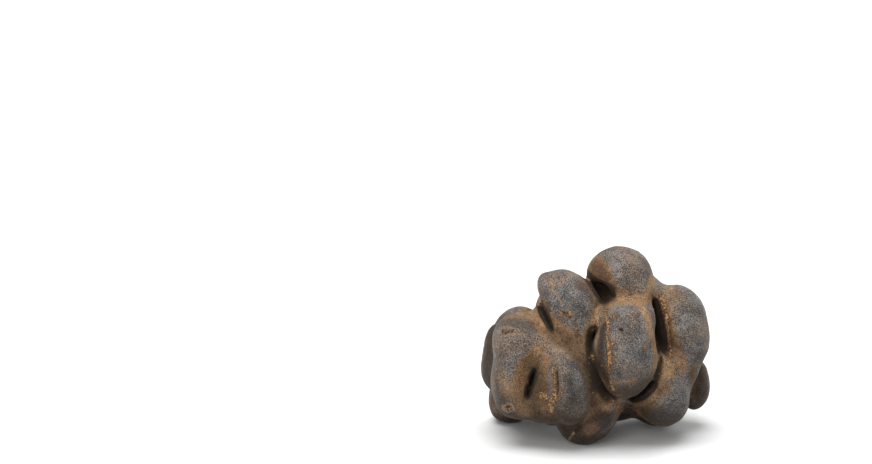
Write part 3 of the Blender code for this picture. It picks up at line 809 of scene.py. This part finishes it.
class Recipe:
    """A material in the making. Each method adds nodes and gives the socket that comes out of them."""

    def __init__(self, name):
        self.material = bpy.data.materials.new(name)
        self.material.use_nodes = True
        self.tree = self.material.node_tree
        self.shader = self.tree.nodes["Principled BSDF"]
        place = self.tree.nodes.new("ShaderNodeTexCoord").outputs["Object"]
        self.place = self.scaled(place, 1 / MM)

    def node(self, kind, operation=None):
        node = self.tree.nodes.new(kind)
        if operation:
            node.operation = operation
        return node

    def feed(self, socket, value):
        """Links the value to the socket if it comes out of a node, and otherwise sets it there."""
        if isinstance(value, bpy.types.NodeSocket):
            self.tree.links.new(value, socket)
        else:
            socket.default_value = value

    def finish(self, values):
        """The material, with those values on its shader's own sockets."""
        for name, value in values.items():
            self.feed(self.shader.inputs[name], value)
        return self.material

    def attribute(self, name):
        node = self.node("ShaderNodeAttribute")
        node.attribute_name = name
        return node.outputs["Fac"]

    def noise(self, size, detail=2.0, roughness=0.5):
        """Noise from 0 to 1 with features of that size."""
        node = self.node("ShaderNodeTexNoise")
        self.feed(node.inputs["Vector"], self.place)
        self.feed(node.inputs["Scale"], 1 / size)
        self.feed(node.inputs["Detail"], detail)
        self.feed(node.inputs["Roughness"], roughness)
        return node.outputs["Fac"]

    def cells(self, size, output="Color"):
        """The nearest cell's own random colour, or the Distance from its middle, in cells."""
        node = self.node("ShaderNodeTexVoronoi")
        self.feed(node.inputs["Vector"], self.place)
        self.feed(node.inputs["Scale"], 1 / size)
        return node.outputs[output]

    def dots(self, specks):
        """The specks' strength inside them, and 0 between them."""
        inside = self.step(self.cells(specks.spacing, "Distance"), specks.radius, specks.radius * 0.5)
        bare = 1 - specks.share
        chosen = self.step(self.cells(specks.spacing), bare - SPECK_SOFTNESS, bare + SPECK_SOFTNESS)
        return self.product(self.product(inside, chosen), specks.strength)

    def math(self, operation, first, second, third=0.0):
        node = self.node("ShaderNodeMath", operation)
        for socket, value in zip(node.inputs, (first, second, third)):
            self.feed(socket, value)
        return node.outputs[0]

    def product(self, first, second):
        return self.math("MULTIPLY", first, second)

    def total(self, *terms):
        """The sum of (socket, weight) pairs and plain numbers."""
        result = 0.0
        for term in terms:
            if isinstance(term, tuple):
                result = self.math("MULTIPLY_ADD", term[0], term[1], result)
            else:
                result = self.math("ADD", result, term)
        return result

    def step(self, value, low, high):
        """0 below low, 1 above high, and smooth between; the other way round where low is the higher."""
        node = self.node("ShaderNodeMapRange")
        node.interpolation_type = "SMOOTHSTEP"
        self.feed(node.inputs["Value"], value)
        self.feed(node.inputs["From Min"], min(low, high))
        self.feed(node.inputs["From Max"], max(low, high))
        self.feed(node.inputs["To Min"], 0.0 if low < high else 1.0)
        self.feed(node.inputs["To Max"], 1.0 if low < high else 0.0)
        return node.outputs["Result"]

    def mix(self, share, first, second):
        """The first colour where the share is 0, and the second where it is 1."""
        node = self.node("ShaderNodeMix")
        node.data_type = "RGBA"
        self.feed(node.inputs["Factor"], share)
        for socket, colour in zip(node.inputs[MIX_COLOURS], (first, second)):
            self.feed(socket, (*colour, 1.0) if isinstance(colour, tuple) else colour)
        return node.outputs[MIX_RESULT]

    def between(self, share, ends):
        """The first of two numbers where the share is 0, and the second where it is 1."""
        return self.total((share, ends[1] - ends[0]), ends[0])

    def scaled(self, vector, amount):
        """The place or colour times the amount."""
        node = self.node("ShaderNodeVectorMath", "SCALE")
        self.feed(node.inputs["Vector"], vector)
        self.feed(node.inputs["Scale"], amount)
        return node.outputs["Vector"]

    def bump(self, height, depth):
        """Bumps of that depth."""
        node = self.node("ShaderNodeBump")
        self.feed(node.inputs["Strength"], 1.0)
        self.feed(node.inputs["Distance"], depth * MM)
        self.feed(node.inputs["Height"], height)
        return node.outputs["Normal"]


class SkinRecipe(Recipe):
    """The skin's material, with the textures that its layers share."""

    def __init__(self):
        super().__init__("potato_skin")
        self.noises = {name: self.noise(*values) for name, values in NOISES.items()}
        self.crumbly = self.cells(FLAKE_CELLS)
        self.pores = self.cells(SCAB_CELLS)
        self.lenticels = self.dots(LENTICELS)
        self.speckle = self.math("MAXIMUM", self.blend(SPECKLE), DARKEST_SPECKLE)
        self.ragged = self.blend(RAGGED)
        where = self.node("ShaderNodeSeparateXYZ")
        self.feed(where.inputs[0], self.place)
        # painted light from above: how far up the place is, for painting skin and soil lighter higher up
        self.raised = self.step(where.outputs["Z"], *PAINTED_LIGHT_HEIGHTS)
        self.leftward = self.step(where.outputs["X"], *DUSTIER)

    def blend(self, recipe, *more):
        """The recipe's sum of the skin's noises, with any more terms."""
        weighted = [(self.noises[name], weight) for name, weight in recipe.weights.items()]
        return self.total(*weighted, recipe.level, *more)

    def cover(self, name):
        """How much the layer of that name hides what is under it, from 0 to its strength."""
        cover = COVERS[name]
        edge = self.total((self.attribute(cover.mark), 1.0), (self.ragged, cover.torn))
        return self.product(self.step(edge, cover.start, cover.full), cover.strength)

    def bare_skin(self):
        """Charcoal and ash in soft clouds, thinly dusted, painted darker low down and lighter high up as if
        lit from above, with pale, tan and dark specks.
        """
        skin = self.mix(self.step(self.blend(CLOUDS), *ASH_EDGE), CHARCOAL, ASH)
        dusty = self.step(self.blend(DUSTINESS, (self.leftward, DUSTIER_BY)), *THIN_DUST_EDGE)
        skin = self.mix(self.product(dusty, THIN_DUST), skin, DUST_BROWN)
        skin = self.scaled(self.scaled(skin, self.speckle), self.between(self.raised, SKIN_PAINTED_LIGHT))
        skin = self.mix(self.dots(PALE_SPECKS), skin, PALE_SPECKS.colour)
        skin = self.mix(self.dots(TAN_SPECKS), skin, TAN_SPECKS.colour)
        return self.mix(self.lenticels, skin, LENTICELS.colour)

    def soil(self):
        """Tan soil with paler patches and darker lumps, painted darker low down and lighter high up as if lit
        from above.
        """
        soil = self.mix(self.step(self.noises["soil_patches"], *SOIL_PALE_EDGE), SOIL, SOIL_PALE)
        soil = self.mix(self.step(self.noises["soil_lumps"], *SOIL_DARK_EDGE), soil, SOIL_DARK)
        soil = self.scaled(soil, self.math("MAXIMUM", self.blend(SOIL_SPECKLE), DARKEST_SOIL_SPECKLE))
        return self.scaled(soil, self.between(self.raised, SOIL_PAINTED_LIGHT))

    def rust(self):
        """Rusty crust with dark crumbs in it."""
        return self.mix(self.step(self.crumbly, *RUST_DARK_EDGE), RUST, OCHRE_DARK)

    def dust(self):
        """Pale dust, through which the speckles show faintly."""
        return self.scaled(DUST, self.total((self.speckle, SPECKLE_IN_DUST), 1 - SPECKLE_IN_DUST))

    def scab(self):
        """Brown scab, with soil in some of its pores and shadow in others."""
        scab = self.mix(self.step(self.pores, *SCAB_SOIL_EDGE), SCAB, SOIL)
        return self.mix(self.step(self.pores, *SCAB_PORE_EDGE), scab, DARK_SOIL_AND_SHADE)

    def flake(self):
        """Ochre crumbs, from dark to pale."""
        flake = self.mix(self.step(self.crumbly, *FLAKE_OCHRE_EDGE), OCHRE_DARK, OCHRE)
        return self.mix(self.step(self.crumbly, *FLAKE_PALE_EDGE), flake, OCHRE_PALE)


def skin_material():
    """Charcoal skin with specks, and on it the layers of COVERS, each over the one before."""
    make = SkinRecipe()
    colours = {
        "soil": make.soil(),
        # painted shade in dark brown
        "painted_shade": make.scaled(SHADE_BROWN, make.speckle),
        "rust": make.scaled(make.rust(), make.speckle),
        "dust": make.dust(),
        # painted shadow in black
        "painted_shadow": BLACK,
        "stain": STAIN,
        # painted shade, near black, in the clefts
        "cleft_shade": DARK_SOIL_AND_SHADE,
        "scab_rim": SCAB_RIM,
        "scab": make.scaled(make.scab(), make.speckle),
        "line": SOIL_PALE,
        "flake_bed": make.scaled(OCHRE_DARK, make.speckle),
        "flakes": make.flake(),
        "pit": DARK_SOIL_AND_SHADE,
        "crack": DARK_SOIL_AND_SHADE,
    }
    covers = {name: make.cover(name) for name in COVERS}
    surface = make.bare_skin()
    for name, cover in covers.items():
        surface = make.mix(cover, surface, colours[name])
    rough = make.math("MINIMUM", make.blend(ROUGHNESS, (covers["soil"], ROUGHER_SOIL)), ROUGHEST)
    flaky = make.product(covers["flakes"], make.crumbly)
    scabby = make.product(covers["scab"], make.pores)
    height = make.blend(BUMPS, (make.lenticels, LENTICEL_BUMPS), (flaky, 1.0), (scabby, SCAB_BUMPS))
    bumps = make.bump(height, SKIN_BUMPS)
    return make.finish({"Base Color": surface, "Roughness": rough, "Normal": bumps, **SKIN_SHINE})


def crumb_material():
    """Dry soil, from nearly black to pale ochre, one tone to a crumb."""
    make = Recipe("soil_crumb")
    tone = make.attribute("tone")
    colour = make.mix(make.step(tone, *CRUMB_OCHRE_EDGE), SOIL_DARK, OCHRE)
    colour = make.mix(make.step(tone, *CRUMB_PALE_EDGE), colour, OCHRE_PALE)
    fine = make.noise(*CRUMB_NOISE)
    colour = make.scaled(colour, make.between(fine, CRUMB_LIGHT))
    rough = make.between(fine, CRUMB_ROUGHNESS)
    bumps = make.bump(fine, CRUMB_BUMPS)
    return make.finish({"Base Color": colour, "Roughness": rough, "Normal": bumps, **CRUMB_SHINE})


def floor_material():
    """White paper with a faint grain."""
    make = Recipe("floor")
    paper = make.mix(make.noise(FLOOR_GRAIN), *FLOOR_TONES)
    return make.finish({"Base Color": paper, "Roughness": FLOOR_ROUGHNESS})


def make_skin(ground):
    """The skin with its relief, and the numbers that its material reads."""
    depths = mark_depths(ground.vertices, ground.tree)
    raised = ground.vertices + ground.normals * skin_relief(ground.vertices, depths)[:, None]
    skin = new_mesh("potato_skin", on_the_floor(raised, ground), ground.quads, skin_material())
    skin.data.shade_smooth()
    add_dirt_and_shade(depths, ground)
    for name, values in depths.items():
        store(skin.data, name, values)
    return skin


def crumb_sites(ground):
    """Place, normal, size and tone of each crumb: thick along the flaking marks, and thin in the clefts."""
    draw = random.Random(CRUMB_PLACE_SEED)
    sites = []
    for mark in MARKS:
        if mark.kind != "flakes":
            continue
        for sample in mark_samples(mark, ground.tree, FLAKE_CRUMB_SPACING):
            for _ in range(1 + round(FLAKE_CRUMBS_MORE * mark.reach)):
                spread = Vector([draw.gauss(0, FLAKE_CRUMB_SCATTER * mark.reach) for _ in range(3)])
                place, normal, _, _ = ground.tree.find_nearest(sample + spread)
                size = draw.uniform(*FLAKE_CRUMB_ROOTS) ** 2
                sites.append((place, normal, size, draw.random() ** FLAKE_CRUMB_DARKNESS))
    shut_in = ground.shelters[CLEFT_CRUMB_REACH]
    low, high = CLEFT_CRUMB_SHELTER
    deep = np.flatnonzero((shut_in > low) & (shut_in < high))
    for n in draw.sample(deep.tolist(), CLEFT_CRUMBS):
        size = draw.uniform(*CLEFT_CRUMB_ROOTS) ** 2
        place, normal = Vector(ground.vertices[n]), Vector(ground.normals[n])
        sites.append((place, normal, size, draw.uniform(*CLEFT_CRUMB_TONES)))
    return sites


def make_crumbs(ground):
    """All the crumbs of soil as one mesh, each half sunk in the skin."""
    draw = random.Random(CRUMB_FORM_SEED)
    work = bmesh.new()
    bmesh.ops.create_icosphere(work, subdivisions=1, radius=1.0)
    ball = [v.co.copy() for v in work.verts]
    sides = np.array([[v.index for v in f.verts] for f in work.faces])
    work.free()
    places, faces, tones = [], [], []
    for place, normal, size, tone in crumb_sites(ground):
        turn = Euler([draw.uniform(0, math.tau) for _ in range(3)]).to_matrix()
        stretch = Vector((size, size * draw.uniform(*CRUMB_WIDTH), size * draw.uniform(*CRUMB_THICKNESS)))
        faces.append(sides + len(places))
        for co in ball:
            lump = turn @ (co * draw.uniform(*CRUMB_CORNERS) * stretch)
            places.append(place + lump + normal * size * CRUMB_LIFT)
            tones.append(tone)
    places = on_the_floor(np.array(places), ground)
    crumbs = new_mesh("soil_crumbs", places, np.concatenate(faces), crumb_material())
    store(crumbs.data, "tone", np.array(tones))
    return crumbs


def add_camera(shift):
    """The camera that sees the potato as the photograph does."""
    right, up, forward = [Vector(axis) for axis in camera_axes()]
    data = bpy.data.cameras.new("camera")
    data.lens = LENS
    data.sensor_width = SENSOR
    data.clip_start = CLIP_START * MM
    camera = bpy.data.objects.new("camera", data)
    bpy.context.scene.collection.objects.link(camera)
    turn = Matrix((right, up, -forward)).transposed().to_4x4()
    camera.matrix_world = Matrix.Translation(Vector((camera_place() - shift) * MM)) @ turn
    bpy.context.scene.camera = camera


def add_lamp(lamp):
    data = bpy.data.lights.new(lamp.name, "SUN")
    data.angle = math.radians(lamp.spread)
    data.energy = lamp.strength
    light = bpy.data.objects.new(lamp.name, data)
    bpy.context.scene.collection.objects.link(light)
    light.rotation_euler = Vector(lamp.come_from).to_track_quat("Z", "Y").to_euler()


def add_walls():
    """White walls far off, all round."""
    world = bpy.context.scene.world or bpy.data.worlds.new("world")
    bpy.context.scene.world = world
    world.use_nodes = True
    nodes, links = world.node_tree.nodes, world.node_tree.links
    direction = nodes.new("ShaderNodeSeparateXYZ")
    links.new(nodes.new("ShaderNodeTexCoord").outputs["Generated"], direction.inputs[0])
    fade = nodes.new("ShaderNodeMapRange")
    links.new(direction.outputs["Z"], fade.inputs["Value"])
    for name, value in WALL_FADE.items():
        fade.inputs[name].default_value = value
    backdrop = nodes["Background"]
    backdrop.inputs["Color"].default_value = (1.0, 1.0, 1.0, 1.0)
    links.new(fade.outputs["Result"], backdrop.inputs["Strength"])


def add_studio():
    """A pale floor, a wide soft light from above, weaker ones from front and back, and white walls."""
    for lamp in LAMPS:
        add_lamp(lamp)
    add_walls()
    corners = FLOOR_REACH * np.array([(-1, -1, 0), (1, -1, 0), (1, 1, 0), (-1, 1, 0)])
    floor = new_mesh("floor", corners, np.array([[0, 1, 2, 3]]), floor_material())
    bpy.context.scene.view_settings.view_transform = "Standard"


def main():
    ground = grow_ground()
    skin = make_skin(ground)
    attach(skin, "root")
    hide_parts("potato")
    crumbs = make_crumbs(ground)
    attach(crumbs, "root")
    add_studio()
    add_camera(ground.shift)


main()
